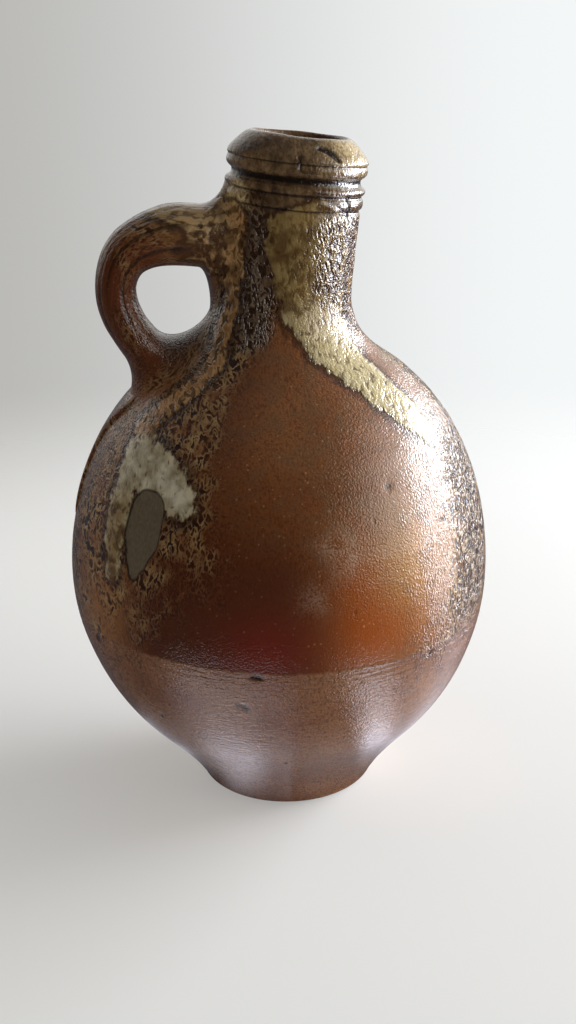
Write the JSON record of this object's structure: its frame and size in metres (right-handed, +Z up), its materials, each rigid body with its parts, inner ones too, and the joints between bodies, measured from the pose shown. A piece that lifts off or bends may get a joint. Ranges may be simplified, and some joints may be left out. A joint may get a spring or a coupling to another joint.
{
  "type": "stoneware jug",
  "caption": "Globular salt-glazed stoneware jug with a leaning narrow neck, ringed rim, open mouth for a cork and a pulled loop handle, standing on a flat base.",
  "frame": {"origin": "centre of the base, on the surface the jug stands on", "axes": "+Z up along the body's turning axis; the handle is on the -X side and the neck leans towards +X"},
  "size_m": [0.1422, 0.1422, 0.2236],
  "materials": {
    "salt_glaze": "glossy mottled brown salt glaze",
    "bare_clay": "matte fired clay"
  },
  "bodies": {
    "root": {"thrown_body": "salt_glaze", "neck_luting_slip": "bare_clay", "thrown_neck": "salt_glaze", "pulled_handle": "salt_glaze", "handle_top_slip": "salt_glaze", "handle_foot_slip": "salt_glaze"}
  },
  "joints": []
}
